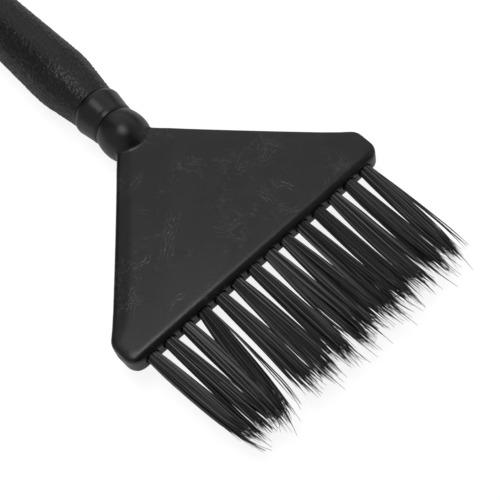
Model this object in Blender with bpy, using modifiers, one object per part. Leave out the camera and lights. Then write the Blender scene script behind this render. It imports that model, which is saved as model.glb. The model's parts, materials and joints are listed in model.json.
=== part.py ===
"""Salon tint brush: a triangular moulded head with one row of nylon tufts, on a straight round handle.

Frame: metres, the handle's axis along Y, the bristles towards -Y, the tail towards +Y, +Z up. The brush lies
flat. The origin is on the ground under the middle of its overall length. Along the handle, a "station" is the
distance from the neck, where the head's sloping edges meet the neck ball: positive towards the tail, and
negative towards the bristles.
"""
import math

import bmesh
import bpy
from mathutils import Matrix, Vector

MM = 0.001
GAP = 0.3 * MM                    # clearance between touching pieces

# Overall
BRISTLE_TIP = -69.0 * MM          # station of the longest bristles
TAIL_END = 143.0 * MM             # station of the handle's far end
GRIP_RADIUS = 7.075 * MM          # widest ring of the grip, which touches the ground
AXIS_HEIGHT = GRIP_RADIUS
NECK_Y = -0.5 * (BRISTLE_TIP + TAIL_END)

# Head: a flat blade, symmetric about the handle's axis
BLADE_LENGTH = 40.5 * MM          # from the neck to the mouth
BLADE_HALF_WIDTH = 34.1 * MM
BLADE_THICKNESS = 5.7 * MM
BLADE_EDGE_RADIUS = 1.6 * MM
BLADE_NECK_HALF_WIDTH = 5.05 * MM
SHOULDER_STATION = -33.5 * MM     # where the sloping edge meets the short straight side
SHOULDER_RADIUS = 3.4 * MM
MOUTH_CORNER_RADIUS = 3.0 * MM
BLADE_TANG = 1.5 * MM             # the blade runs this far back, inside the ball
LEG_BOW = 0.15 * MM               # how far the sloping edges curve inwards
LEG_POINTS = 4
CORNER_STEPS = 6

# Neck ball, an egg on the handle's axis, cut off flat where the collar begins
BALL_RADIUS = 5.7 * MM
BALL_CENTRE = 3.6 * MM
BALL_FRONT = 6.6 * MM             # half length towards the blade
BALL_BACK = 7.9 * MM              # half length towards the collar
BALL_END = 7.6 * MM
BALL_RINGS = 14
SOCKET_RADIUS = 2.8 * MM
SOCKET_END = 0.6 * MM             # station of the bottom of the socket for the core's spigot

# Collar between the ball and the grip
COLLAR_START = BALL_END + GAP
COLLAR_END = 14.1 * MM
COLLAR_FRONT_RADIUS = 5.2 * MM
COLLAR_RADIUS = 5.93 * MM
COLLAR_SHOULDER = 12.6 * MM       # station of the widest ring
COLLAR_BEAD_END_RADIUS = 5.3 * MM
SLEEVE_BORE_RADIUS = 3.7 * MM     # bore of the collar and of the grip

# Grip, a sleeve on the core
GRIP_START = COLLAR_END + GAP
GRIP_END = 92.0 * MM
GRIP_START_RADIUS = 5.48 * MM
GRIP_CONE_END = 24.2 * MM         # the straight cone behind the collar ends here
GRIP_CONE_RADIUS = 6.93 * MM
GRIP_WIDEST = 27.2 * MM
GRIP_END_RADIUS = 5.0 * MM
GRIP_EDGE_RADIUS = 0.6 * MM
GRIP_RINGS = 9
GRIP_SHOULDER_RINGS = 4
GRIP_TAPER_POWER = 1.05           # just over 1, so the taper is very slightly swollen

# Core: a rod through the grip and the collar, with the tail in one piece
CORE_RADIUS = SLEEVE_BORE_RADIUS - GAP
SPIGOT_RADIUS = SOCKET_RADIUS - GAP
SPIGOT_START = SOCKET_END + GAP
TAIL_START = GRIP_END + GAP
TAIL_BEAD_RADIUS = 4.9 * MM
TAIL_BEAD_LENGTH = 3.6 * MM
TAIL_NECK_RADIUS = 3.5 * MM
TAIL_TIP_RADIUS = 2.1 * MM
TAIL_RINGS = 8

ROUND_STEPS = 6                   # rings in a quarter round

# Bristles: tufts in blind holes, each folded over a flat metal anchor
TUFT_COUNT = 14
TUFT_PITCH = 4.5 * MM
HOLE_RADIUS = 1.7 * MM
HOLE_DEPTH = 7.0 * MM
TUFT_ROOT_RADIUS = HOLE_RADIUS - GAP
TUFT_DEPTH = 6.6 * MM
TUFT_TIP_HALF_HEIGHT = 1.35 * MM
TUFT_CROWN = 3.0 * MM             # the outermost tufts end this much shorter than the middle ones
TUFT_STATIONS = 7
TUFT_FULL_AT = 0.6                # part of the free length by which a tuft has spread to its full width
TUFT_LEAN_POWER = 1.5             # a tuft starts out straight and leans more and more towards its tip
BUNCHES = (                       # the row has parted into two bunches: first tuft, last tuft, spread, shift
    (0, 3, 0.66, -1.35 * MM),
    (4, 13, 1.03, -0.15 * MM),
)
ANCHOR_WIDTH = 2.7 * MM
ANCHOR_HEIGHT = 1.3 * MM          # along the hole
ANCHOR_THICKNESS = 0.45 * MM
ANCHOR_DEPTH = 5.0 * MM           # middle of the anchor, below the mouth

SEGMENTS = 48
TUFT_SEGMENTS = 12
HOLE_SEGMENTS = 20
MERGE = 0.00001


def clear_scene():
    for thing in list(bpy.data.objects):
        bpy.data.objects.remove(thing, do_unlink=True)


def new_collection(name):
    collection = bpy.data.collections.new(name)
    bpy.context.scene.collection.children.link(collection)
    return collection


def new_material(name, colour, roughness, metallic=0.0):
    material = bpy.data.materials.new(name)
    material.use_nodes = True
    shader = material.node_tree.nodes["Principled BSDF"]
    shader.inputs["Base Color"].default_value = (*colour, 1.0)
    shader.inputs["Roughness"].default_value = roughness
    shader.inputs["Metallic"].default_value = metallic
    return material


def new_object(name, mesh, collection, material=None):
    thing = bpy.data.objects.new(name, mesh)
    collection.objects.link(thing)
    if material is not None:
        mesh.materials.append(material)
    return thing


def hide_cutter(cutter):
    cutter.hide_render = True
    cutter.display_type = "WIRE"


def add_boolean(thing, cutter, operation):
    modifier = thing.modifiers.new(operation.lower(), "BOOLEAN")
    modifier.operation = operation
    modifier.solver = "EXACT"
    modifier.object = cutter


def curve_to_mesh(curve_object, collection):
    """Replace a curve by its mesh, with the loose caps welded on."""
    evaluated = curve_object.evaluated_get(bpy.context.evaluated_depsgraph_get())
    mesh = bpy.data.meshes.new_from_object(evaluated)
    welded = bmesh.new()
    welded.from_mesh(mesh)
    bmesh.ops.remove_doubles(welded, verts=welded.verts, dist=MERGE)
    welded.to_mesh(mesh)
    welded.free()
    name = curve_object.name
    matrix = curve_object.matrix_world.copy()
    bpy.data.objects.remove(curve_object, do_unlink=True)
    thing = new_object(name, mesh, collection)
    thing.matrix_world = matrix
    return thing


def smooth(thing):
    thing.data.shade_smooth()
    thing.data.set_sharp_from_angle(angle=math.radians(35))


def turned(name, profile, collection, material, closed):
    """A solid of revolution about the handle's axis.

    profile is a list of (radius, station) from the tail side to the bristle side down the outside. A closed
    profile returns up the bore, and an open one starts and ends on the axis.
    """
    mesh = bpy.data.meshes.new(name)
    vertices = [(radius, 0.0, station) for radius, station in profile]
    edges = [(i, i + 1) for i in range(len(profile) - 1)]
    if closed:
        edges.append((len(profile) - 1, 0))
    mesh.from_pydata(vertices, edges, [])
    thing = new_object(name, mesh, collection, material)
    thing.rotation_euler = (math.radians(-90), 0.0, 0.0)
    screw = thing.modifiers.new("turn", "SCREW")
    screw.axis = "Z"
    screw.angle = math.tau
    screw.steps = SEGMENTS
    screw.render_steps = SEGMENTS
    screw.use_merge_vertices = True
    screw.merge_threshold = MERGE
    screw.use_smooth_shade = True
    return thing


def quarter_round(inner, outer, top, bottom):
    """A quarter of an ellipse in a profile, from (inner, top) out and down to (outer, bottom)."""
    points = []
    for i in range(ROUND_STEPS + 1):
        angle = math.pi / 2 * (1 - i / ROUND_STEPS)
        points.append((inner + (outer - inner) * math.cos(angle), bottom + (top - bottom) * math.sin(angle)))
    return points


def rounded_corner(before, corner, after, radius):
    """An arc that rounds the corner between two straight edges of a flat outline."""
    corner = Vector(corner)
    into = (Vector(before) - corner).normalized()
    out = (Vector(after) - corner).normalized()
    half_angle = into.angle(out) / 2
    centre = corner + (into + out).normalized() * radius / math.sin(half_angle)
    reach = radius / math.tan(half_angle)
    first = corner + into * reach - centre
    last = corner + out * reach - centre
    turn = first.angle_signed(last)
    points = []
    for i in range(CORNER_STEPS + 1):
        ray = first.copy()
        ray.rotate(Matrix.Rotation(-turn * i / CORNER_STEPS, 2))
        points.append(tuple(centre + ray))
    return points


def blade_half_outline():
    """The outline of one half of the blade, from the neck to the middle of the mouth."""
    neck = (BLADE_NECK_HALF_WIDTH, 0.0)
    shoulder = (BLADE_HALF_WIDTH, SHOULDER_STATION)
    slope = (shoulder[0] - neck[0]) / (neck[1] - shoulder[1])
    tang = (neck[0] - slope * BLADE_TANG, BLADE_TANG)
    corner = (BLADE_HALF_WIDTH, -BLADE_LENGTH)
    middle = (0.0, -BLADE_LENGTH)
    leg = Vector(shoulder) - Vector(neck)
    inwards = Vector((leg.y, -leg.x)).normalized()
    points = [tang]
    for i in range(1, LEG_POINTS + 1):
        part = i / (LEG_POINTS + 1)
        bow = LEG_BOW * 4 * part * (1 - part)
        points.append(tuple(Vector(neck) + leg * part + inwards * bow))
    points += rounded_corner(neck, shoulder, corner, SHOULDER_RADIUS)
    points += rounded_corner(shoulder, corner, middle, MOUTH_CORNER_RADIUS)
    return points


def make_blade(collection):
    """The flat blade: its outline given half its thickness each way, with the rim rounded."""
    half = blade_half_outline()
    outline = half + [(-x, y) for x, y in reversed(half)]
    curve = bpy.data.curves.new("head", "CURVE")
    curve.dimensions = "2D"
    curve.fill_mode = "BOTH"
    curve.extrude = BLADE_THICKNESS / 2
    spline = curve.splines.new("POLY")
    spline.points.add(len(outline) - 1)
    for point, (x, y) in zip(spline.points, outline):
        point.co = (x, y, 0.0, 1.0)
    spline.use_cyclic_u = True
    curve_object = bpy.data.objects.new("head", curve)
    collection.objects.link(curve_object)
    bpy.context.view_layer.update()
    blade = curve_to_mesh(curve_object, collection)
    rim = blade.modifiers.new("rim", "BEVEL")
    rim.width = BLADE_EDGE_RADIUS
    rim.segments = 4
    rim.limit_method = "ANGLE"
    rim.angle_limit = math.radians(60)
    rim.use_clamp_overlap = False
    return blade


def ball_profile():
    """The neck ball from its flat back to its nose inside the blade."""
    points = [(0.0, BALL_END)]
    back = (BALL_END - BALL_CENTRE) / BALL_BACK
    start = math.asin(back)
    for i in range(BALL_RINGS + 1):
        angle = start - (start + math.pi / 2) * i / BALL_RINGS
        length = BALL_BACK if angle > 0 else BALL_FRONT
        radius = 0.0 if i == BALL_RINGS else BALL_RADIUS * math.cos(angle)
        points.append((radius, BALL_CENTRE + length * math.sin(angle)))
    return points


def hole_cutter(collection):
    """Every tuft hole, and the socket for the core's spigot, as one set of cylinders."""
    mesh = bpy.data.meshes.new("head_bores")
    bores = bmesh.new()
    across = Matrix.Rotation(math.radians(90), 4, "X")
    length = 2 * HOLE_DEPTH
    for i in range(TUFT_COUNT):
        place = Matrix.Translation((tuft_x(i), -BLADE_LENGTH, 0.0)) @ across
        bmesh.ops.create_cone(bores, cap_ends=True, segments=HOLE_SEGMENTS, radius1=HOLE_RADIUS,
                              radius2=HOLE_RADIUS, depth=length, matrix=place)
    depth = 2 * (BALL_END - SOCKET_END)
    place = Matrix.Translation((0.0, BALL_END, 0.0)) @ across
    bmesh.ops.create_cone(bores, cap_ends=True, segments=HOLE_SEGMENTS, radius1=SOCKET_RADIUS,
                          radius2=SOCKET_RADIUS, depth=depth, matrix=place)
    bores.to_mesh(mesh)
    bores.free()
    return new_object("head_bores", mesh, collection)


def make_head(parts, cutters, material):
    """Blade and neck ball in one moulding, with blind holes for the tufts and a socket for the core."""
    head = make_blade(parts)
    head.data.materials.append(material)
    ball = turned("neck_ball", ball_profile(), cutters, None, closed=False)
    bores = hole_cutter(cutters)
    hide_cutter(ball)
    hide_cutter(bores)
    add_boolean(head, ball, "UNION")
    add_boolean(head, bores, "DIFFERENCE")
    smooth(head)
    return head, (ball, bores)


def make_collar(parts, material):
    """A ring that widens towards the grip and ends in a rounded bead."""
    points = [(SLEEVE_BORE_RADIUS, COLLAR_END)]
    points += quarter_round(COLLAR_BEAD_END_RADIUS, COLLAR_RADIUS, COLLAR_END, COLLAR_SHOULDER)
    points.append((COLLAR_FRONT_RADIUS, COLLAR_START))
    points.append((SLEEVE_BORE_RADIUS, COLLAR_START))
    return turned("collar", points, parts, material, closed=True)


def grip_radius(station):
    """The outside of the grip: a cone, a short round shoulder, then a long straight taper to the tail."""
    if station <= GRIP_CONE_END:
        part = (station - GRIP_START) / (GRIP_CONE_END - GRIP_START)
        return GRIP_START_RADIUS + (GRIP_CONE_RADIUS - GRIP_START_RADIUS) * part
    if station <= GRIP_WIDEST:
        part = (GRIP_WIDEST - station) / (GRIP_WIDEST - GRIP_CONE_END)
        return GRIP_RADIUS - (GRIP_RADIUS - GRIP_CONE_RADIUS) * part ** 2
    part = (station - GRIP_WIDEST) / (GRIP_END - GRIP_WIDEST)
    return GRIP_RADIUS - (GRIP_RADIUS - GRIP_END_RADIUS) * part ** GRIP_TAPER_POWER


def make_grip(parts, material):
    """The soft sleeve that the hand holds."""
    end = GRIP_END - GRIP_EDGE_RADIUS
    points = [(SLEEVE_BORE_RADIUS, GRIP_END)]
    points += quarter_round(grip_radius(end) - GRIP_EDGE_RADIUS, grip_radius(end), GRIP_END, end)
    for i in range(1, GRIP_RINGS):
        station = end + (GRIP_WIDEST - end) * i / GRIP_RINGS
        points.append((grip_radius(station), station))
    for i in range(GRIP_SHOULDER_RINGS + 1):
        station = GRIP_WIDEST + (GRIP_CONE_END - GRIP_WIDEST) * i / GRIP_SHOULDER_RINGS
        points.append((grip_radius(station), station))
    points.append((grip_radius(GRIP_START), GRIP_START))
    points.append((SLEEVE_BORE_RADIUS, GRIP_START))
    return turned("grip", points, parts, material, closed=True)


def make_core(parts, material):
    """The rod: tail tip, taper, bead against the grip, journal for the sleeves, and spigot for the head."""
    tip = TAIL_END - TAIL_TIP_RADIUS
    bead = TAIL_START + GRIP_EDGE_RADIUS
    start = TAIL_START + TAIL_BEAD_LENGTH
    points = quarter_round(0.0, TAIL_TIP_RADIUS, TAIL_END, tip)
    for i in range(1, TAIL_RINGS):
        part = i / TAIL_RINGS
        radius = TAIL_TIP_RADIUS + (TAIL_NECK_RADIUS - TAIL_TIP_RADIUS) * part
        points.append((radius, tip + (start - tip) * part))
    points += quarter_round(TAIL_NECK_RADIUS, TAIL_BEAD_RADIUS, start, bead)
    points.append((TAIL_BEAD_RADIUS - GRIP_EDGE_RADIUS / 2, TAIL_START))
    points.append((CORE_RADIUS, TAIL_START))
    points.append((CORE_RADIUS, COLLAR_START))
    points.append((SPIGOT_RADIUS, COLLAR_START))
    points.append((SPIGOT_RADIUS, SPIGOT_START))
    points.append((0.0, SPIGOT_START))
    return turned("handle_core", points, parts, material, closed=False)


def tuft_x(index):
    """Where a tuft stands along the mouth."""
    return (index - (TUFT_COUNT - 1) / 2) * TUFT_PITCH


def tuft_bunch(index):
    """The x at which a tuft's tip ends up, and half of its width there, from the bunch it belongs to."""
    for first, last, spread, shift in BUNCHES:
        if first <= index <= last:
            middle = (tuft_x(first) + tuft_x(last)) / 2
            tip_x = middle + shift + (tuft_x(index) - middle) * spread
            return tip_x, (TUFT_PITCH * spread - GAP) / 2
    raise ValueError("tuft outside every bunch")


def tuft_length(index):
    """Free length of a tuft: the row is trimmed to a shallow crown."""
    across = tuft_x(index) / tuft_x(TUFT_COUNT - 1)
    return -BRISTLE_TIP - BLADE_LENGTH - TUFT_CROWN * across ** 2


def ease(value):
    return value * value * (3 - 2 * value)


def make_tuft(index, parts, material, cutter):
    """A bundle of filaments as one solid: round in its hole, flatter and wider towards the tips."""
    name = f"tuft_{index + 1:02d}"
    free = tuft_length(index)
    length = TUFT_DEPTH + free
    tip_x, tip_half_width = tuft_bunch(index)
    lean = tip_x - tuft_x(index)
    mesh = bpy.data.meshes.new(name)
    bundle = bmesh.new()
    away = Matrix.Rotation(math.radians(90), 4, "X")
    place = Matrix.Translation((0.0, TUFT_DEPTH - length / 2, 0.0)) @ away
    bmesh.ops.create_cone(bundle, cap_ends=True, segments=TUFT_SEGMENTS, radius1=1.0, radius2=1.0,
                          depth=length, matrix=place)
    for i in range(TUFT_STATIONS):
        cut = -free * i / TUFT_STATIONS
        geometry = bundle.verts[:] + bundle.edges[:] + bundle.faces[:]
        bmesh.ops.bisect_plane(bundle, geom=geometry, plane_co=(0.0, cut, 0.0), plane_no=(0.0, 1.0, 0.0))
    for vertex in bundle.verts:
        part = max(0.0, -vertex.co.y / free)
        spread = ease(min(1.0, part / TUFT_FULL_AT))
        half_width = TUFT_ROOT_RADIUS + (tip_half_width - TUFT_ROOT_RADIUS) * spread
        half_height = TUFT_ROOT_RADIUS + (TUFT_TIP_HALF_HEIGHT - TUFT_ROOT_RADIUS) * spread
        vertex.co.x = vertex.co.x * half_width + lean * part ** TUFT_LEAN_POWER
        vertex.co.z = vertex.co.z * half_height
    bundle.to_mesh(mesh)
    bundle.free()
    tuft = new_object(name, mesh, parts, material)
    tuft.location = (tuft_x(index), -BLADE_LENGTH, 0.0)
    add_boolean(tuft, cutter, "DIFFERENCE")
    smooth(tuft)
    return tuft


def slot_cutter(cutters):
    """The fold of every tuft: slots across the row, one for each anchor to pass through."""
    slots = bmesh.new()
    size = (2 * HOLE_RADIUS, ANCHOR_HEIGHT + 2 * GAP, ANCHOR_THICKNESS + 2 * GAP)
    for i in range(TUFT_COUNT):
        place = Matrix.Translation((tuft_x(i), ANCHOR_DEPTH - BLADE_LENGTH, 0.0))
        bmesh.ops.create_cube(slots, size=1.0, matrix=place @ Matrix.Diagonal((*size, 1.0)))
    mesh = bpy.data.meshes.new("tuft_slots")
    slots.to_mesh(mesh)
    slots.free()
    cutter = new_object("tuft_slots", mesh, cutters)
    hide_cutter(cutter)
    return cutter


def make_anchor(index, parts, material):
    """The flat metal anchor that holds a folded tuft down in its hole."""
    name = f"anchor_{index + 1:02d}"
    size = Matrix.Diagonal((ANCHOR_WIDTH, ANCHOR_HEIGHT, ANCHOR_THICKNESS, 1.0))
    mesh = bpy.data.meshes.new(name)
    plate = bmesh.new()
    bmesh.ops.create_cube(plate, size=1.0, matrix=size)
    plate.to_mesh(mesh)
    plate.free()
    anchor = new_object(name, mesh, parts, material)
    anchor.location = (tuft_x(index), ANCHOR_DEPTH - BLADE_LENGTH, 0.0)
    return anchor


def main():
    clear_scene()
    parts = new_collection("tint_brush")
    cutters = new_collection("cutters")
    moulding = new_material("moulding", (0.035, 0.035, 0.036), 0.42)
    sleeve = new_material("sleeve", (0.028, 0.028, 0.029), 0.6)
    nylon = new_material("nylon", (0.02, 0.02, 0.021), 0.35)
    wire = new_material("wire", (0.62, 0.6, 0.55), 0.35, 1.0)

    neck = bpy.data.objects.new("neck", None)
    neck.location = (0.0, NECK_Y, AXIS_HEIGHT)
    parts.objects.link(neck)

    head, head_tools = make_head(parts, cutters, moulding)
    slots = slot_cutter(cutters)
    pieces = [head, *head_tools, slots]
    pieces.append(make_collar(parts, moulding))
    pieces.append(make_grip(parts, sleeve))
    pieces.append(make_core(parts, moulding))
    for i in range(TUFT_COUNT):
        pieces.append(make_tuft(i, parts, nylon, slots))
        pieces.append(make_anchor(i, parts, wire))
    for piece in pieces:
        piece.parent = neck


main()
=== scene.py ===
import json
import math

import bmesh
import bpy
import numpy as np
from mathutils import Matrix, Vector, noise

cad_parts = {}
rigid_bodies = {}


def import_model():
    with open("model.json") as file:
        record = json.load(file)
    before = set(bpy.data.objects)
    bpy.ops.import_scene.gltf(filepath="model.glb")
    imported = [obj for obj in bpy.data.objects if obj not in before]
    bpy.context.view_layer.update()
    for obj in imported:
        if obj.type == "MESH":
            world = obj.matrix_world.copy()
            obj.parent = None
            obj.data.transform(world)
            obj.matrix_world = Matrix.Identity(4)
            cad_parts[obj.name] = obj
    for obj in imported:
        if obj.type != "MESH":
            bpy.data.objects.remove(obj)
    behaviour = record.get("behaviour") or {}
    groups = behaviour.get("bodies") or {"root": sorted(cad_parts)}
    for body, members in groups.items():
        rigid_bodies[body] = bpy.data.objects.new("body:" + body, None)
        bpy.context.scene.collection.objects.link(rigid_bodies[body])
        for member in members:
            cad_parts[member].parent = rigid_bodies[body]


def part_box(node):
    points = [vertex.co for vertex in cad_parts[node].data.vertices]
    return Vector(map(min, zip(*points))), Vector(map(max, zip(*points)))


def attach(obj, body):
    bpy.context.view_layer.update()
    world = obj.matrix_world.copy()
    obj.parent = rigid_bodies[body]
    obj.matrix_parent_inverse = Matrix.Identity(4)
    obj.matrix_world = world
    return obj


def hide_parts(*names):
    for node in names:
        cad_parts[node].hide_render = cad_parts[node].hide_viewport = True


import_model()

MM = 0.001
SEED = 4205
noise.seed_set(SEED)              # otherwise mathutils takes its noise vectors' offsets from the clock
PLASTIC_IOR = 1.58
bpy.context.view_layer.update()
HEAD_LOW, HEAD_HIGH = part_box("head")
AXIS_Z = (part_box("collar")[0].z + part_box("collar")[1].z) / 2
MOUTH_Y = HEAD_LOW.y
NECK_Y = MOUTH_Y + 40.5 * MM

# ---------------------------------------------------------------- plain mesh tools


def mesh_object(name, vertices, faces):
    mesh = bpy.data.meshes.new(name)
    mesh.from_pydata(vertices, [], faces)
    mesh.update()
    thing = bpy.data.objects.new(name, mesh)
    bpy.context.scene.collection.objects.link(thing)
    return thing


def finish_piece(thing, nodes, material):
    """Give a piece its material and smooth shading, and put it in the place of its CAD nodes."""
    thing.data.materials.clear()
    thing.data.materials.append(material)
    thing.data.shade_smooth()
    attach(thing, "root")
    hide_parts(*nodes)


def lathe(profile, segments, closed=True):
    """Vertices and faces of a profile of (radius, station) turned about the handle's axis.

    A closed profile has a bore. An open one starts and ends on the axis.
    """
    angles = [math.tau * i / segments for i in range(segments)]
    vertices, rings = [], []
    for radius, station in profile:
        y = NECK_Y + station
        if radius < 1e-7:
            rings.append([len(vertices)] * segments)
            vertices.append((0.0, y, AXIS_Z))
            continue
        first = len(vertices)
        vertices += [(radius * math.sin(a), y, AXIS_Z + radius * math.cos(a)) for a in angles]
        rings.append(list(range(first, first + segments)))
    pairs = list(zip(rings, rings[1:] + rings[:1] if closed else rings[1:]))
    faces = []
    for one, two in pairs:
        for i in range(segments):
            j = (i + 1) % segments
            face = []
            for corner in (one[i], one[j], two[j], two[i]):
                if corner not in face:
                    face.append(corner)
            if len(face) > 2:
                faces.append(face)
    return vertices, faces


def outwards(thing):
    """Turn every face so that the closed mesh has its outside out."""
    work = bmesh.new()
    work.from_mesh(thing.data)
    bmesh.ops.recalc_face_normals(work, faces=work.faces)
    work.to_mesh(thing.data)
    work.free()


def arc(centre, radius, start, end, steps):
    """Points of an arc in a profile, angles in degrees from the radial direction towards the tail."""
    points = []
    for i in range(steps + 1):
        angle = math.radians(start + (end - start) * i / steps)
        points.append((centre[0] + radius[0] * math.cos(angle), centre[1] + radius[1] * math.sin(angle)))
    return points


def ease(value):
    """0 below 0 and 1 above 1, with a smooth step between."""
    value = np.clip(value, 0.0, 1.0)
    return value * value * (3 - 2 * value)


def evaluated_copy(thing, name):
    """The object as its modifiers make it, as a plain mesh object, in place of the old one."""
    graph = bpy.context.evaluated_depsgraph_get()
    mesh = bpy.data.meshes.new_from_object(thing.evaluated_get(graph))
    bpy.data.objects.remove(thing, do_unlink=True)
    mesh.name = name
    made = bpy.data.objects.new(name, mesh)
    bpy.context.scene.collection.objects.link(made)
    return made


def cut(thing, cutter, operation):
    modifier = thing.modifiers.new(operation.lower(), "BOOLEAN")
    modifier.operation = operation
    modifier.solver = "EXACT"
    modifier.object = cutter


def relax(thing, weights, rounds):
    """Average each vertex with its neighbours, by its own weight."""
    mesh = thing.data
    count = len(mesh.vertices)
    points = np.empty(count * 3)
    mesh.vertices.foreach_get("co", points)
    points = points.reshape(-1, 3)
    edges = np.empty(len(mesh.edges) * 2, dtype=np.int64)
    mesh.edges.foreach_get("vertices", edges)
    edges = edges.reshape(-1, 2)
    ends = np.concatenate([edges[:, 0], edges[:, 1]])
    others = np.concatenate([edges[:, 1], edges[:, 0]])
    valence = np.maximum(np.bincount(ends, minlength=count), 1)
    pull = weights(points)[:, None]
    for _ in range(rounds):
        mean = np.stack([np.bincount(ends, points[others, k], count) for k in range(3)], axis=1)
        points = points + pull * (mean / valence[:, None] - points)
    mesh.vertices.foreach_set("co", points.ravel())
    mesh.update()


# ---------------------------------------------------------------- material tools


class Nodes:
    """A short way to write a node tree round one Principled shader."""

    def __init__(self, name):
        self.material = bpy.data.materials.new(name)
        self.material.use_nodes = True
        self.tree = self.material.node_tree
        self.shader = self.tree.nodes["Principled BSDF"]
        self.object = self.tree.nodes.new("ShaderNodeTexCoord").outputs["Object"]

    def add(self, kind, inputs=None, **settings):
        node = self.tree.nodes.new(kind)
        for key, value in settings.items():
            setattr(node, key, value)
        for key, value in (inputs or {}).items():
            self.put(node.inputs[key], value)
        return node

    def put(self, socket, value):
        if isinstance(value, bpy.types.NodeSocket):
            self.tree.links.new(value, socket)
        else:
            socket.default_value = value

    def math(self, operation, a, b=0.0, c=0.0):
        return self.add("ShaderNodeMath", {0: a, 1: b, 2: c}, operation=operation).outputs[0]

    def noise(self, scale, detail=2.0, rough=0.5, distortion=0.0, vector=None):
        inputs = {
            "Vector": vector or self.object, "Scale": scale, "Detail": detail,
            "Roughness": rough, "Distortion": distortion,
        }
        return self.add("ShaderNodeTexNoise", inputs).outputs["Fac"]

    def stretched(self, scale, offset=(0.0, 0.0, 0.0), turn=(0.0, 0.0, 0.0)):
        inputs = {"Vector": self.object, "Location": offset, "Rotation": turn, "Scale": scale}
        return self.add("ShaderNodeMapping", inputs).outputs[0]

    def span(self, value, low, high, to_low=0.0, to_high=1.0):
        inputs = {"Value": value, "From Min": low, "From Max": high, "To Min": to_low, "To Max": to_high}
        return self.add("ShaderNodeMapRange", inputs, interpolation_type="SMOOTHSTEP").outputs[0]

    def blend(self, factor, a, b):
        node = self.add("ShaderNodeMix", {"Factor": factor}, data_type="RGBA")
        self.put(node.inputs[6], a if isinstance(a, bpy.types.NodeSocket) else (*a, 1.0))
        self.put(node.inputs[7], b if isinstance(b, bpy.types.NodeSocket) else (*b, 1.0))
        return node.outputs[2]

    def bump(self, height, distance, strength=1.0, normal=None):
        inputs = {"Height": height, "Distance": distance, "Strength": strength}
        if normal is not None:
            inputs["Normal"] = normal
        return self.add("ShaderNodeBump", inputs).outputs[0]


FLOW_SPREAD = 1.35                # widens every ribbon beyond the half width that its mark gives
FLOW_PITCH = 0.8 * MM             # from one line of a ribbon to the next
FLOW_WARP = 3.2 * MM              # the range over which noise pushes the lines sideways
SEAM_NEAR, SEAM_FAR = 0.03 * MM, 0.12 * MM    # the parting line is full within one and gone beyond the other


def flow_ribbon(nodes, warp, mark):
    """Parallel curved lines that fade at both ends, as the melt folds where two fronts meet.

    mark is (x, station, angle, half length, half width, sway, strength); the lines lie on the top face.
    """
    x, station, angle, length, width, sway, strength = mark
    turn = math.radians(angle)
    ahead, aside = (math.cos(turn), math.sin(turn), 0.0), (-math.sin(turn), math.cos(turn), 0.0)
    centre = Vector((x * MM, NECK_Y + station * MM, 0.0))

    def distance(way):
        dot = nodes.add("ShaderNodeVectorMath", {0: nodes.object, 1: way}, operation="DOT_PRODUCT")
        return nodes.math("SUBTRACT", dot.outputs["Value"], centre.dot(Vector(way)))

    along, across = distance(ahead), distance(aside)
    swing = nodes.math("SINE", nodes.math("MULTIPLY", along, 2.2 / (length * MM)))
    across = nodes.math("MULTIPLY_ADD", swing, sway * MM, across)
    across = nodes.math("MULTIPLY_ADD", nodes.math("SUBTRACT", warp, 0.5), FLOW_WARP, across)
    lines = nodes.math("PINGPONG", nodes.math("DIVIDE", across, FLOW_PITCH), 0.5)
    ends = nodes.span(nodes.math("ABSOLUTE", along), 0.45 * length * MM, length * MM, 1.0, 0.0)
    spread = width * FLOW_SPREAD * MM
    sides = nodes.span(nodes.math("ABSOLUTE", across), 0.45 * spread, spread, strength, 0.0)
    return nodes.math("MULTIPLY", nodes.span(lines, 0.3, 0.5), nodes.math("MULTIPLY", ends, sides))


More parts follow.
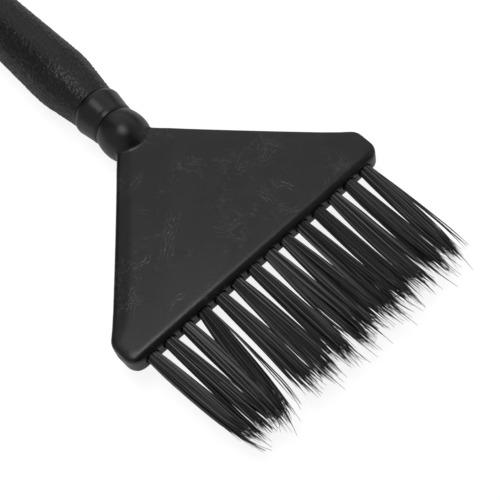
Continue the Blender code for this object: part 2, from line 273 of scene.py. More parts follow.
def moulded(name, tone, roughness, grain_depth, marks=()):
    """Satin black moulded plastic: mottled and finely textured, and with marks also seamed and crinkled, the
    marks painted pale as a painted sheen.
    """
    n = Nodes(name)
    broad = n.noise(120.0, 3.0, 0.55)
    cloud = n.noise(520.0, 4.0, 0.6, 0.6)
    grain = n.noise(5200.0, 2.0, 0.5)
    dents = n.noise(1500.0, 2.0, 0.5)
    dark = tuple(tone * c for c in (0.7, 0.7, 0.71))
    light = tuple(tone * c for c in (1.4, 1.39, 1.38))
    colour = n.blend(n.span(broad, 0.3, 0.7), dark, light)
    rough = n.math("MULTIPLY_ADD", n.span(cloud, 0.25, 0.75), 0.08, roughness - 0.04)
    height = n.math("MULTIPLY_ADD", dents, 0.6, n.math("MULTIPLY", grain, 0.4))
    if marks:
        warp = n.noise(300.0, 4.0, 0.6, 0.8)
        flow_mark_and_sheen = None
        for mark in marks:
            ribbon = flow_ribbon(n, warp, mark)
            flow_mark_and_sheen = ribbon if flow_mark_and_sheen is None else n.math("MAXIMUM", flow_mark_and_sheen, ribbon)
        flow_mark_and_sheen = n.math("MULTIPLY", flow_mark_and_sheen, n.span(n.noise(1100.0, 3.0, 0.6), 0.35, 0.6, 0.1, 1.0))
        fold = n.math("ABSOLUTE", n.math("SUBTRACT", n.noise(230.0, 5.0, 0.62, 1.3), 0.5))
        patch = n.span(n.noise(95.0, 3.0, 0.55), 0.5, 0.62, 0.0, 0.3)
        flow_mark_and_sheen = n.math("MAXIMUM", flow_mark_and_sheen, n.math("MULTIPLY", n.span(fold, 0.0, 0.02, 1.0, 0.0), patch))
        # The flow marks and crinkles are painted pale: a painted sheen on marks that are real, which also
        # raise the bump below.
        colour = n.blend(flow_mark_and_sheen, colour, (0.17, 0.17, 0.171))
        height = n.math("MULTIPLY_ADD", flow_mark_and_sheen, 2.6, height)
        level = n.add("ShaderNodeSeparateXYZ", {0: n.object}).outputs["Z"]
        off_seam = n.math("ABSOLUTE", n.math("SUBTRACT", level, AXIS_Z))
        height = n.math("ADD", height, n.span(off_seam, SEAM_NEAR, SEAM_FAR, 3.0, 0.0))
    n.put(n.shader.inputs["Base Color"], colour)
    n.put(n.shader.inputs["Roughness"], rough)
    n.put(n.shader.inputs["Normal"], n.bump(height, grain_depth, 1.0))
    n.shader.inputs["IOR"].default_value = PLASTIC_IOR
    return n.material


def rubbery():
    """The grip's soft sleeve: dark in the creases of its grain, which is painted shade, and paler on the
    pebbles' tops.
    """
    n = Nodes("grip_rubber")
    pebbles = n.add("ShaderNodeAttribute", attribute_name="pebble").outputs["Fac"]
    broad = n.noise(140.0, 3.0, 0.6)
    pores = n.noise(6500.0, 3.0, 0.6)
    tops = n.blend(n.span(broad, 0.3, 0.7), (0.014, 0.014, 0.0145), (0.024, 0.024, 0.024))
    # The grain's creases get near-black colour: painted shade in the hollows between the pebbles.
    n.put(n.shader.inputs["Base Color"], n.blend(n.span(pebbles, 0.2, 0.8), (0.003, 0.003, 0.003), tops))
    rough = n.math("MULTIPLY_ADD", pores, 0.12, 0.36)
    n.put(n.shader.inputs["Roughness"], n.math("MULTIPLY_ADD", n.span(pebbles, 0.2, 0.8), -0.1, rough))
    n.put(n.shader.inputs["Normal"], n.bump(pores, 0.02 * MM, 1.0))
    n.shader.inputs["IOR"].default_value = PLASTIC_IOR
    return n.material


def nylon():
    """Bristle filament: each strand has its own shade and gloss, its pale strands partly painted highlight;
    roots are paler than ends.
    """
    n = Nodes("nylon")
    strand = n.add("ShaderNodeAttribute", attribute_name="strand").outputs["Fac"]
    along = n.add("ShaderNodeAttribute", attribute_name="along").outputs["Fac"]
    flecks = n.noise(900.0, 2.0, 0.5, 0.0, n.stretched((1.0, 0.12, 1.0)))
    # Strand tone runs from near black to pale grey. It is partly tone that differs from strand to strand, and
    # partly painted highlight standing in for glints along the glossy filaments.
    shade = n.blend(strand, (0.003, 0.003, 0.003), (0.34, 0.34, 0.341))
    shade = n.blend(n.span(along, 0.15, 1.0, 0.0, 0.62), shade, (0.006, 0.006, 0.006))
    shade = n.blend(n.span(flecks, 0.3, 0.75, 0.0, 0.12), shade, (0.06, 0.06, 0.06))
    n.put(n.shader.inputs["Base Color"], shade)
    rough = n.math("MULTIPLY_ADD", strand, -0.16, 0.40)
    n.put(n.shader.inputs["Roughness"], n.math("MULTIPLY_ADD", flecks, 0.06, rough))
    return n.material


def drawn_wire():
    """Flat brass-coloured anchor wire: drawn lines along it, dulled in patches."""
    n = Nodes("anchor_wire")
    lines = n.noise(9000.0, 3.0, 0.6, 0.0, n.stretched((0.05, 1.0, 1.0)))
    dull = n.noise(1400.0, 3.0, 0.6)
    bright, tarnish = (0.62, 0.58, 0.5), (0.34, 0.3, 0.24)
    n.put(n.shader.inputs["Base Color"], n.blend(n.span(dull, 0.4, 0.7), bright, tarnish))
    n.put(n.shader.inputs["Roughness"], n.math("MULTIPLY_ADD", n.span(dull, 0.3, 0.8), 0.3, 0.22))
    n.put(n.shader.inputs["Normal"], n.bump(lines, 0.004 * MM, 1.0))
    n.shader.inputs["Metallic"].default_value = 1.0
    return n.material


# ---------------------------------------------------------------- head

BLADE_HALF_WIDTH = HEAD_HIGH.x
BLADE_THICKNESS = 5.7 * MM
MOUTH_RIM = 1.68 * MM             # the rim is a quarter round at the mouth
LEG_RIM = 0.9 * MM                # elsewhere a smaller round, with a shallow slope inside it
SLOPE_ANGLE, SLOPE_END, SLOPE_SOFT = math.radians(9.5), 4.0 * MM, 1.0 * MM
CORNER_SLOPE_END = 2.5 * MM
NECK_HALF_WIDTH = 5.05 * MM
SHOULDER_STATION = -33.5 * MM
SHOULDER_RADIUS = 3.4 * MM
MOUTH_CORNER_RADIUS = 3.0 * MM
TANG = 1.5 * MM
LEG_BOW = 0.15 * MM
LEG_TRIM = 0.11 * MM              # the legs run this far inside the straight line to the shoulder
BALL_RADIUS, BALL_CENTRE, BALL_END = 5.7 * MM, 3.6 * MM, 7.6 * MM
BALL_FRONT, BALL_BACK = 6.6 * MM, 7.9 * MM
HOLE_RADIUS, HOLE_DEPTH = 1.58 * MM, 6.9 * MM
SOCKET_RADIUS, SOCKET_END = 2.8 * MM, 0.6 * MM
TUFT_COUNT = 14
VOXEL = 0.28 * MM
CUTTER_SPARE = 5 * MM             # a cutter runs this far past the surface that it opens
SKIN_ROUNDS, JOIN_ROUNDS = 3, 12  # smoothing passes over the whole head, then where the ball meets the blade
GATE_PLACE = Vector((-BLADE_HALF_WIDTH, NECK_Y - 36.0 * MM, AXIS_Z))
GATE_SIZE, GATE_HEIGHT = 0.8 * MM, 0.22 * MM


def rounded_corner(before, corner, after, radius, steps=14):
    """An arc that rounds the corner between two straight edges of a flat outline."""
    corner = Vector(corner)
    into = (Vector(before) - corner).normalized()
    out = (Vector(after) - corner).normalized()
    half_angle = into.angle(out) / 2
    centre = corner + (into + out).normalized() * radius / math.sin(half_angle)
    reach = radius / math.tan(half_angle)
    first = corner + into * reach - centre
    turn = first.angle_signed(corner + out * reach - centre)
    points = []
    for i in range(steps + 1):
        ray = first.copy()
        ray.rotate(Matrix.Rotation(-turn * i / steps, 2))
        points.append(tuple(centre + ray))
    return points


def blade_outline():
    """The blade seen from above: straight mouth, rounded shoulders, legs that bow in very slightly."""
    neck = (NECK_HALF_WIDTH, 0.0)
    shoulder = (BLADE_HALF_WIDTH, SHOULDER_STATION)
    corner = (BLADE_HALF_WIDTH, MOUTH_Y - NECK_Y)
    slope = (shoulder[0] - neck[0]) / (neck[1] - shoulder[1])
    leg = Vector(shoulder) - Vector(neck)
    inwards = Vector((leg.y, -leg.x)).normalized()
    half = [(neck[0] - slope * TANG, TANG)]
    for i in range(1, 12):
        part = i / 12
        bow = LEG_BOW * 4 * part * (1 - part) + LEG_TRIM * min(1.0, 8 * part, 8 * (1 - part))
        half.append(tuple(Vector(neck) + leg * part + inwards * bow))
    half += rounded_corner(neck, shoulder, corner, SHOULDER_RADIUS)
    half += rounded_corner(shoulder, corner, (0.0, corner[1]), MOUTH_CORNER_RADIUS)
    return half + [(-x, y) for x, y in reversed(half)]


def inset(outline, distances):
    """Each point of the outline moved inwards by its own distance, with mitred corners."""
    moved = []
    count = len(outline)
    for i in range(count):
        here = Vector(outline[i])
        into = (here - Vector(outline[i - 1])).normalized()
        out = (Vector(outline[(i + 1) % count]) - here).normalized()
        normals = [Vector((edge.y, -edge.x)) for edge in (into, out)]
        middle = (normals[0] + normals[1]).normalized()
        moved.append(here + middle * distances[i] / max(0.4, middle.dot(normals[0])))
    return moved


def mouth_rim(steps):
    """Distance inwards and height below the face, from the side wall up to the face, at the mouth."""
    turns = [math.pi / 2 * i / steps for i in range(steps + 1)]
    return [(MOUTH_RIM * (1 - math.sin(a)), MOUTH_RIM * (1 - math.cos(a))) for a in reversed(turns)]


def leg_rim(steps, slope_end):
    """The same for a leg: a round off the wall, then a shallow slope that dies into the face."""
    arc_steps = steps // 2
    levels = []
    for i in range(arc_steps + 1):
        tilt = math.pi / 2 + (SLOPE_ANGLE - math.pi / 2) * i / arc_steps
        levels.append((LEG_RIM * (1 - math.sin(tilt)), -LEG_RIM * math.cos(tilt)))
    start, rise = levels[-1]
    soft = min(SLOPE_SOFT, (slope_end - start) * 0.6)
    for i in range(1, steps - arc_steps + 1):
        inwards = (slope_end - start) * i / (steps - arc_steps)
        fading = max(0.0, inwards - (slope_end - start - soft))
        climb = (inwards - fading ** 2 / (2 * soft)) * math.tan(SLOPE_ANGLE)
        levels.append((start + inwards, rise - climb))
    top = levels[-1][1]
    return [(distance, depth - top) for distance, depth in levels]


def make_blade():
    """The flat blade with its rim rounded all the way round."""
    outline = blade_outline()
    count = len(outline)
    steps = 20
    half = BLADE_THICKNESS / 2
    mouth, leg, corner = mouth_rim(steps), leg_rim(steps, SLOPE_END), leg_rim(steps, CORNER_SLOPE_END)
    sides = []
    for x, y in outline:
        at_mouth = ease((BLADE_HALF_WIDTH - abs(x)) / (4 * MM)) * ease((MOUTH_Y - NECK_Y - y) / MM + 1)
        on_leg = ease((y - SHOULDER_STATION) / (5 * MM))
        sides.append((at_mouth, on_leg * (1 - at_mouth), (1 - on_leg) * (1 - at_mouth)))
    levels = []
    for k in range(steps + 1):
        rims = (mouth[k], leg[k], corner[k])
        levels.append([
            [sum(w * rim[j] for w, rim in zip(weights, rims)) for j in (0, 1)] for weights in sides])
    rings = [(level, 1) for level in reversed(levels)] + [(level, -1) for level in levels]
    vertices, faces = [], []
    for level, side in rings:
        moved = inset(outline, [distance for distance, _ in level])
        vertices += [
            (p.x, NECK_Y + p.y, AXIS_Z + side * (half - depth)) for p, (_, depth) in zip(moved, level)]
    for k in range(len(rings) - 1):
        for i in range(count):
            j = (i + 1) % count
            faces.append((k * count + i, k * count + j, (k + 1) * count + j, (k + 1) * count + i))
    faces.append(tuple(range(count)))
    faces.append(tuple(range((len(rings) - 1) * count, len(rings) * count)))
    blade = mesh_object("blade", vertices, faces)
    outwards(blade)
    return blade


def make_ball():
    """The egg-shaped neck, cut flat just before the collar."""
    points = [(0.0, BALL_END)]
    start = math.asin((BALL_END - BALL_CENTRE) / BALL_BACK)
    rings = 40
    for i in range(rings + 1):
        angle = start - (start + math.pi / 2) * i / rings
        length = BALL_BACK if angle > 0 else BALL_FRONT
        radius = 0.0 if i == rings else BALL_RADIUS * math.cos(angle)
        points.append((radius, BALL_CENTRE + length * math.sin(angle)))
    ball = mesh_object("ball", *lathe(points, 128, closed=False))
    outwards(ball)
    return ball


def drilled(name, places, radius, y_from, y_to):
    """Round cutters along Y at each (x, z) place, as one object."""
    work = bmesh.new()
    for x, z in places:
        middle = Matrix.Translation((x, (y_from + y_to) / 2, z)) @ Matrix.Rotation(math.pi / 2, 4, "X")
        bmesh.ops.create_cone(work, cap_ends=True, segments=64, radius1=radius, radius2=radius,
                              depth=abs(y_to - y_from), matrix=middle)
    mesh = bpy.data.meshes.new(name)
    work.to_mesh(mesh)
    work.free()
    thing = bpy.data.objects.new(name, mesh)
    bpy.context.scene.collection.objects.link(thing)
    return thing


def hole_places():
    """Centre of each tuft hole across the mouth, from the anchors that the CAD holds in them."""
    places = []
    for i in range(TUFT_COUNT):
        low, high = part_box(f"anchor_{i + 1:02d}")
        places.append(((low.x + high.x) / 2, (low.z + high.z) / 2))
    return places


def raise_gate(head):
    """The trimmed stub of the moulding gate, low and ragged, on the blade's left short side."""
    for vertex in head.data.vertices:
        away = vertex.co - GATE_PLACE
        if away.length > 3 * GATE_SIZE or vertex.co.x > GATE_PLACE.x + 0.6 * MM:
            continue
        flat = math.hypot(away.y, away.z * 1.4)
        ragged = 0.75 + 0.5 * noise.noise(vertex.co * 1400)
        vertex.co.x -= GATE_HEIGHT * ragged * float(ease((GATE_SIZE - flat) / (0.5 * GATE_SIZE)))


def make_head():
    """Blade and neck in one moulding: joined, drilled, then skinned so that every edge is softly blended."""
    head = make_blade()
    ball = make_ball()
    holes = drilled("holes", hole_places(), HOLE_RADIUS, MOUTH_Y - CUTTER_SPARE, MOUTH_Y + HOLE_DEPTH)
    socket = drilled("socket", [(0.0, AXIS_Z)], SOCKET_RADIUS, NECK_Y + SOCKET_END,
                     NECK_Y + BALL_END + CUTTER_SPARE)
    cut(head, ball, "UNION")
    cut(head, holes, "DIFFERENCE")
    cut(head, socket, "DIFFERENCE")
    skin = head.modifiers.new("skin", "REMESH")
    skin.mode = "VOXEL"
    skin.voxel_size = VOXEL
    head = evaluated_copy(head, "visual_head")
    for tool in (ball, holes, socket):
        bpy.data.objects.remove(tool, do_unlink=True)

    def everywhere(points):
        """Half way at each pass, but less where the ball meets the blade."""
        station = points[:, 1] - NECK_Y
        at_joint = (np.abs(points[:, 0]) < 6 * MM) & (station > -5 * MM) & (station < 3 * MM)
        return np.where(at_joint, 0.3, 0.5)

    def at_neck(points):
        """Strongest on the join of ball and blade, fading out along and across."""
        station = points[:, 1] - NECK_Y
        near = np.clip(1.0 - np.abs(station + 0.6 * MM) / (3.4 * MM), 0.0, 1.0)
        beside = np.clip(1.0 - (np.abs(points[:, 0]) - 6.5 * MM) / (1.5 * MM), 0.0, 1.0)
        return 0.6 * near * beside

    relax(head, everywhere, SKIN_ROUNDS)
    relax(head, at_neck, JOIN_ROUNDS)
    raise_gate(head)
    return head


# ---------------------------------------------------------------- collar, grip and core

COLLAR_START, COLLAR_END = 7.9 * MM, 14.1 * MM
COLLAR_FRONT_RADIUS, COLLAR_RADIUS = 5.2 * MM, 5.93 * MM
COLLAR_SHOULDER, COLLAR_BEAD_END = 12.6 * MM, 5.3 * MM
BORE_RADIUS = 3.7 * MM
GRIP_START, GRIP_END = 14.16 * MM, 92.0 * MM
GRIP_RADIUS, GRIP_START_RADIUS, GRIP_END_RADIUS = 7.075 * MM, 5.48 * MM, 5.0 * MM
GRIP_CONE_END, GRIP_CONE_RADIUS, GRIP_WIDEST = 24.2 * MM, 6.93 * MM, 27.2 * MM
GRIP_EDGE = 0.6 * MM
CORE_RADIUS, SPIGOT_RADIUS, SPIGOT_START = 3.4 * MM, 2.5 * MM, 0.9 * MM
TAIL_START, TAIL_END = 92.3 * MM, 143.0 * MM
BEAD_RADIUS, BEAD_LENGTH = 4.9 * MM, 3.6 * MM
TAIL_NECK_RADIUS, TAIL_TIP_RADIUS = 3.5 * MM, 2.1 * MM
PEBBLE, PEBBLE_DEPTH = 0.62 * MM, 0.17 * MM
GRAIN_LEVEL = 0.75                # grain of this height stays at the sleeve's own radius
GRAIN_FADE = 0.7 * MM             # the grain dies out over this length at both ends


def make_collar():
    """A smooth ring that rises softly from the ball, widens towards the grip and rolls over into its bead."""
    start = COLLAR_START - 0.55 * MM
    lip, roll = 4.98 * MM, 1.5 * MM
    widening = (COLLAR_RADIUS - COLLAR_FRONT_RADIUS) / (COLLAR_SHOULDER - COLLAR_START)
    cone_start = start + roll
    cone_radius = COLLAR_FRONT_RADIUS + widening * (cone_start - COLLAR_START)
    points = [(BORE_RADIUS, COLLAR_END), (COLLAR_BEAD_END - 0.3 * MM, COLLAR_END)]
    bead = (COLLAR_RADIUS - COLLAR_BEAD_END, COLLAR_END - COLLAR_SHOULDER)
    points += arc((COLLAR_BEAD_END, COLLAR_SHOULDER), bead, 88, 0, 20)
    straight = 12
    for i in range(1, straight):
        part = i / straight
        radius = COLLAR_RADIUS + (cone_radius - COLLAR_RADIUS) * part
        points.append((radius, COLLAR_SHOULDER + (cone_start - COLLAR_SHOULDER) * part))
    points += arc((lip, cone_start), (cone_radius - lip, roll), 0, -84, 14)
    points.append((BORE_RADIUS, start))
    collar = mesh_object("visual_collar", *lathe(points, 192))
    outwards(collar)
    return collar


def grip_radius(station):
    """The outside of the grip: a cone, a round shoulder, then a long taper, as in the CAD."""
    if station <= GRIP_CONE_END:
        part = (station - GRIP_START) / (GRIP_CONE_END - GRIP_START)
        return GRIP_START_RADIUS + (GRIP_CONE_RADIUS - GRIP_START_RADIUS) * part
    if station <= GRIP_WIDEST:
        part = (GRIP_WIDEST - station) / (GRIP_WIDEST - GRIP_CONE_END)
        return GRIP_RADIUS - (GRIP_RADIUS - GRIP_CONE_RADIUS) * part ** 2
    part = (station - GRIP_WIDEST) / (GRIP_END - GRIP_WIDEST)
    return GRIP_RADIUS - (GRIP_RADIUS - GRIP_END_RADIUS) * part ** 1.05


def pebble(point):
    """Height of the leather-like grain, 0 in a crease and 1 on top of a pebble."""
    jitter = noise.noise_vector(point * (0.6 / PEBBLE)) * 0.35
    near = noise.voronoi(point / PEBBLE + jitter)[0]
    crease = min(1.0, (near[1] - near[0]) / 0.42)
    crease = crease * crease * (3 - 2 * crease)
    dome = 1.0 - 0.45 * min(1.0, near[0]) ** 2
    return crease * dome


def make_grip():
    """The soft sleeve, with every pebble of its grain raised in the mesh."""
    step = 0.24 * MM
    segments = 188
    outer = GRIP_END - GRIP_EDGE
    rings = round((outer - GRIP_START - GRIP_EDGE / 2) / step)
    first = GRIP_START + GRIP_EDGE / 2
    profile = [(BORE_RADIUS, GRIP_START), (grip_radius(GRIP_START) - GRIP_EDGE / 2, GRIP_START)]
    profile += arc((grip_radius(first) - GRIP_EDGE / 2, first), (GRIP_EDGE / 2, GRIP_EDGE / 2), -75, -15, 4)
    grain_from = len(profile)
    profile += [(grip_radius(first + (outer - first) * i / rings), first + (outer - first) * i / rings)
                for i in range(rings + 1)]
    grain_to = len(profile)
    profile += arc((grip_radius(outer) - GRIP_EDGE, outer), (GRIP_EDGE, GRIP_EDGE), 12, 90, 7)
    profile.append((BORE_RADIUS, GRIP_END))
    vertices, faces = lathe(profile, segments)
    heights = np.full(len(vertices), GRAIN_LEVEL)
    for ring in range(grain_from, grain_to):
        fade = min(1.0, (ring - grain_from) * step / GRAIN_FADE, (grain_to - 1 - ring) * step / GRAIN_FADE)
        for i in range(ring * segments, (ring + 1) * segments):
            x, y, z = vertices[i]
            out = Vector((x, 0.0, z - AXIS_Z)).normalized()
            heights[i] = pebble(Vector((x, y, z)))
            depth = PEBBLE_DEPTH * fade * (heights[i] - GRAIN_LEVEL)
            vertices[i] = (x + out.x * depth, y, z + out.z * depth)
    grip = mesh_object("visual_grip", vertices, faces)
    grip.data.attributes.new("pebble", "FLOAT", "POINT").data.foreach_set("value", heights)
    outwards(grip)
    return grip


def make_core():
    """The rod: round tail tip, long taper, bead against the grip, journal and spigot."""
    tip = TAIL_END - TAIL_TIP_RADIUS
    start = TAIL_START + BEAD_LENGTH
    points = [(0.0, TAIL_END)]
    points += arc((0.0, tip), (TAIL_TIP_RADIUS, TAIL_TIP_RADIUS), 84, 0, 14)
    for i in range(1, 40):
        part = i / 40
        radius = TAIL_TIP_RADIUS + (TAIL_NECK_RADIUS - TAIL_TIP_RADIUS) * part
        points.append((radius, tip + (start + 0.8 * MM - tip) * part))
    fillet = 0.8 * MM
    points += arc((TAIL_NECK_RADIUS + fillet, start + fillet), (fillet, fillet), 180, 262, 6)
    middle = TAIL_START + BEAD_LENGTH / 2
    points += arc((BEAD_RADIUS - 1.0 * MM, middle), (1.0 * MM, BEAD_LENGTH / 2), 80, -80, 24)
    points += [(BEAD_RADIUS - 1.1 * MM, TAIL_START), (CORE_RADIUS, TAIL_START), (CORE_RADIUS, COLLAR_START)]
    points += [(SPIGOT_RADIUS, COLLAR_START), (SPIGOT_RADIUS, SPIGOT_START), (0.0, SPIGOT_START)]
    core = mesh_object("visual_core", *lathe(points, 128, closed=False))
    outwards(core)
    return core


# ---------------------------------------------------------------- bristles

FOLDS = 54                        # filaments in a tuft; each is folded, so it shows two ends
ROOT_SPREAD = 1.42 * MM           # radius of the bundle in its hole
FILAMENT_RADIUS = 0.13 * MM
TIP_THINNING = 0.26               # radius of an end, of the filament's own
FREE_LENGTH = 25.6 * MM           # middle free length; ends are ragged about it
MIDWAY, REACH = 12.0 * MM, 25.0 * MM
SIDES = 5
ANCHOR_CLEAR = 0.34 * MM          # legs pass this far above and below the hole's middle, at the anchor
FOLD_DEPTH = 5.75 * MM
CLUMPS = 13
EDGE_LOSS = 0.22 * MM             # gathering draws the outer strands in by about this much midway
# Where the outer edges of each tuft run, in mm across from its hole's middle: left and right edge midway,
# then left and right edge at the ends. The row has parted after the fourth tuft, which lies against the
# third, and the two outer tufts lean inwards.
TUFT_EDGES = (
    (-0.9, 2.85, 0.45, 4.05), (-1.25, 2.6, -1.2, 3.6), (-1.45, 2.05, -1.6, 2.25), (-3.55, 0.65, -5.05, -0.85),
    (-1.9, 2.05, -2.85, 2.55), (-2.1, 2.2, -2.5, 2.7), (-1.85, 2.05, -2.3, 2.6), (-2.05, 2.25, -2.4, 2.9),
    (-2.25, 2.5, -2.7, 3.1), (-1.9, 2.0, -2.25, 2.6), (-2.0, 1.6, -2.4, 1.9), (-2.45, 1.85, -2.9, 2.2),
    (-2.15, 1.5, -2.6, 1.7), (-2.35, 1.3, -3.3, 0.65),
)
# How far the ends curl across, in mm.
CURLS = (0.9, 0.3, -0.6, -0.7, 0.1, 0.0, 0.0, 0.2, 0.7, 0.6, 0.1, 0.3, 0.2, -0.1)
# Loose hairs along one side of a tuft: tuft, side, how many, and how far out they stay, in mm.
STRAYS = ((3, 1, 4, 1.6), (13, 1, 4, 1.5), (4, 1, 2, 0.4))


def spread_points(count, rng):
    """Points spread evenly over the upper half of a unit disc."""
    points = []
    ring_count = 7
    for ring in range(ring_count):
        radius = (ring + 0.5) / ring_count
        share = max(1, round(count * (2 * ring + 1) / ring_count ** 2))
        for k in range(share):
            angle = math.pi * (k + 0.5 + rng.uniform(-0.22, 0.22)) / share
            wobble = radius + rng.uniform(-0.03, 0.03)
            points.append((wobble * math.cos(angle), wobble * math.sin(angle)))
    return np.array(points)


def edge_curve(root, midway, end, reach):
    """A smooth curve across through three places: at the root, at MIDWAY and at REACH."""
    half = MIDWAY / REACH
    slope = ((midway - root) - (end - root) * half * half) / (half - half * half)
    return root + slope * reach + (end - root - slope) * reach ** 2


def free_legs(index, roots, rng):
    """The free part of every filament of one tuft.

    roots holds each leg's place in the hole's cross-section, x and z. The results are an array of legs by
    points by coordinates, relative to the hole's centre at the mouth, with y negative towards the tips,
    then how far along each point is, and a shade for each leg.
    """
    count = len(roots)
    unit = roots / ROOT_SPREAD
    centres = [np.array([-0.93, 0.1]), np.array([0.93, -0.1])]

    def room(point):
        """Distance to the nearest centre so far; a point too near the hole's edge comes last."""
        return -9 if np.hypot(*point) > 0.95 else min(np.hypot(*(point - c)) for c in centres)

    while len(centres) < CLUMPS:
        centres.append(max((rng.uniform(-1, 1, 2) for _ in range(12)), key=room))
    centres = np.array(centres)
    jitter = rng.normal(0, 0.1, (count, 1, 2))
    gaps = np.hypot(*(unit[:, None, :] + jitter - centres[None]).transpose(2, 0, 1))
    clump = np.argmin(gaps, axis=1)
    clump_sway = rng.normal(0, 0.16 * MM, (CLUMPS, 2))
    clump_length = rng.normal(0, 0.9 * MM, CLUMPS)
    clump_gather = rng.uniform(0.25, 0.75, CLUMPS)
    clump_shade = rng.uniform(0, 1, CLUMPS)

    length = FREE_LENGTH + clump_length[clump] + rng.normal(0, 1.1 * MM, count)
    length += rng.exponential(0.9 * MM, count) - 0.5 * MM
    stray = np.zeros(count)
    for tuft, side, how_many, target in STRAYS:
        if tuft == index:
            loose = np.argsort(-side * unit[:, 0])[:how_many * 2:2]
            stray[loose] = side * target * MM * rng.uniform(0.7, 1.3, how_many)
            length[loose] = FREE_LENGTH + rng.uniform(0.5, 3.2, how_many) * MM
            clump_gather[clump[loose]] *= 0.3

    part = np.array([0.0, 0.05, 0.12, 0.2, 0.29, 0.38, 0.48, 0.58, 0.67, 0.76, 0.84, 0.9, 0.95, 1.0])
    along = length[:, None] * part[None]
    reach = along / REACH
    gather = (clump_gather[clump][:, None]) * ease((reach - 0.1) / 0.95)
    offset = unit[:, None, :] * (1 - gather[..., None]) + centres[clump][:, None, :] * gather[..., None]
    left_mid, right_mid, left_end, right_end = (edge * MM for edge in TUFT_EDGES[index])
    left = edge_curve(
        -ROOT_SPREAD, left_mid - EDGE_LOSS + FILAMENT_RADIUS, left_end + FILAMENT_RADIUS, reach)
    right = edge_curve(
        ROOT_SPREAD, right_mid + EDGE_LOSS - FILAMENT_RADIUS, right_end - FILAMENT_RADIUS, reach)
    x = left + (right - left) * (offset[..., 0] + 1) / 2
    z = offset[..., 1] * ROOT_SPREAD * (1 + 0.06 * reach)
    x += (stray[:, None] + rng.normal(0, 0.1 * MM, (count, 1))) * reach ** 1.25
    x += clump_sway[clump, 0][:, None] * reach ** 1.5
    z += clump_sway[clump, 1][:, None] * 0.6 * reach ** 1.5
    wander = rng.normal(0, 0.1 * MM, (count, 2))
    x += wander[:, :1] * reach ** 1.6
    z += wander[:, 1:] * reach ** 1.6
    bend = rng.normal(0, 1, (count, 2)) * 0.27 * MM
    bend[:, 0] += CURLS[index] * MM * rng.exponential(0.5, count)
    bend[:, 1] -= rng.exponential(0.12, count) * MM
    hook = np.clip((part - 0.72) / 0.28, 0.0, 1.0)[None] ** 2
    x += bend[:, :1] * hook
    z += bend[:, 1:] * hook
    wave = rng.uniform(0.0, 0.05 * MM, count)[:, None]
    x += wave * np.sin(along / (3.1 * MM) + rng.uniform(0, math.tau, count)[:, None]) * ease(reach * 3)
    # Each leg's tone is mostly near black with a few pale: the pale legs are partly painted highlight lines,
    # partly strand-to-strand tone.
    shade = 0.12 * clump_shade[clump] + 0.88 * rng.beta(0.25, 0.62, count)
    return np.stack([x, -along, z], axis=-1), part, shade


def tubes(paths, radii):
    """Round tubes about many paths of equal point count, with their ends closed. Returns mesh data."""
    tangent = np.gradient(paths, axis=1)
    tangent /= np.linalg.norm(tangent, axis=-1, keepdims=True)
    across = np.array([1.0, 0.0, 0.0]) - tangent * tangent[..., :1]
    across /= np.linalg.norm(across, axis=-1, keepdims=True)
    beside = np.cross(tangent, across)
    count, points = paths.shape[:2]
    angles = np.arange(SIDES) * math.tau / SIDES
    ring = (across[:, :, None] * np.cos(angles)[None, None, :, None]
            + beside[:, :, None] * np.sin(angles)[None, None, :, None])
    vertices = (paths[:, :, None] + ring * radii[:, :, None, None]).reshape(-1, 3)
    base = np.arange(count * points).reshape(count, points)
    k = np.arange(SIDES)
    one = base[:, :-1, None] * SIDES + k
    two = base[:, :-1, None] * SIDES + (k + 1) % SIDES
    walls = np.stack([one, two, two + SIDES, one + SIDES], axis=-1).reshape(-1, 4)
    start = base[:, 0, None] * SIDES + k[::-1]
    end = base[:, -1, None] * SIDES + k
    faces = walls.tolist() + start.tolist() + end.tolist()
    return vertices.tolist(), faces


def make_tuft(index, place):
    """One tuft: filaments folded over the anchor, both legs of each running out to its ragged ends."""
    rng = np.random.default_rng(SEED + index)
    upper = spread_points(FOLDS, rng) * ROOT_SPREAD
    lower = upper * (1, -1) + rng.normal(0, 0.03 * MM, upper.shape)
    count = len(upper)
    legs, part, shades = free_legs(index, np.concatenate([upper, lower]), rng)
    root = legs[:, 0]
    depths = np.array([3.2, 4.6]) * MM
    squeeze = ANCHOR_CLEAR + np.abs(root[:, 2]) * (1 - ANCHOR_CLEAR / (ROOT_SPREAD * 1.1))
    held = np.sign(root[:, 2]) * squeeze
    inside = np.stack([np.stack([root[:, 0], np.full(len(root), d), held], axis=-1) for d in depths], axis=1)
    turn = np.radians([0.0, 45.0, 90.0, 135.0, 180.0])
    height = (np.abs(held[:count]) + np.abs(held[count:])) / 2
    fold_x = (root[:count, :1] + (root[count:, :1] - root[:count, :1]) * (1 - np.cos(turn)) / 2)
    fold = np.stack([
        fold_x, FOLD_DEPTH + 0.6 * height[:, None] * np.sin(turn), height[:, None] * np.cos(turn)], axis=-1)
    paths = np.concatenate([
        legs[:count, ::-1], inside[:count], fold, inside[count:, ::-1], legs[count:]], axis=1)
    thin = 1 - (1 - TIP_THINNING) * ease((part - 0.8) / 0.2)
    middle = np.ones(inside.shape[1] * 2 + len(turn))
    own = rng.uniform(0.9, 1.08, count)
    radii = own[:, None] * np.concatenate([thin[::-1], middle, thin])[None] * FILAMENT_RADIUS
    reach = np.concatenate([part[::-1], middle * 0.0, part])
    first, second = len(part) + len(middle) // 2, len(part) + (len(middle) + 1) // 2
    shade = np.concatenate([
        np.tile(shades[:count, None], first), np.tile(shades[count:, None], second)], axis=1)
    paths = paths + np.array([place[0], MOUTH_Y, place[1]])
    tuft = mesh_object(f"visual_tuft_{index + 1:02d}", *tubes(paths, radii))
    for name, values in (("strand", shade), ("along", np.tile(reach, (count, 1)))):
        layer = tuft.data.attributes.new(name, "FLOAT", "POINT")
        layer.data.foreach_set("value", np.repeat(values.ravel(), SIDES))
    return tuft


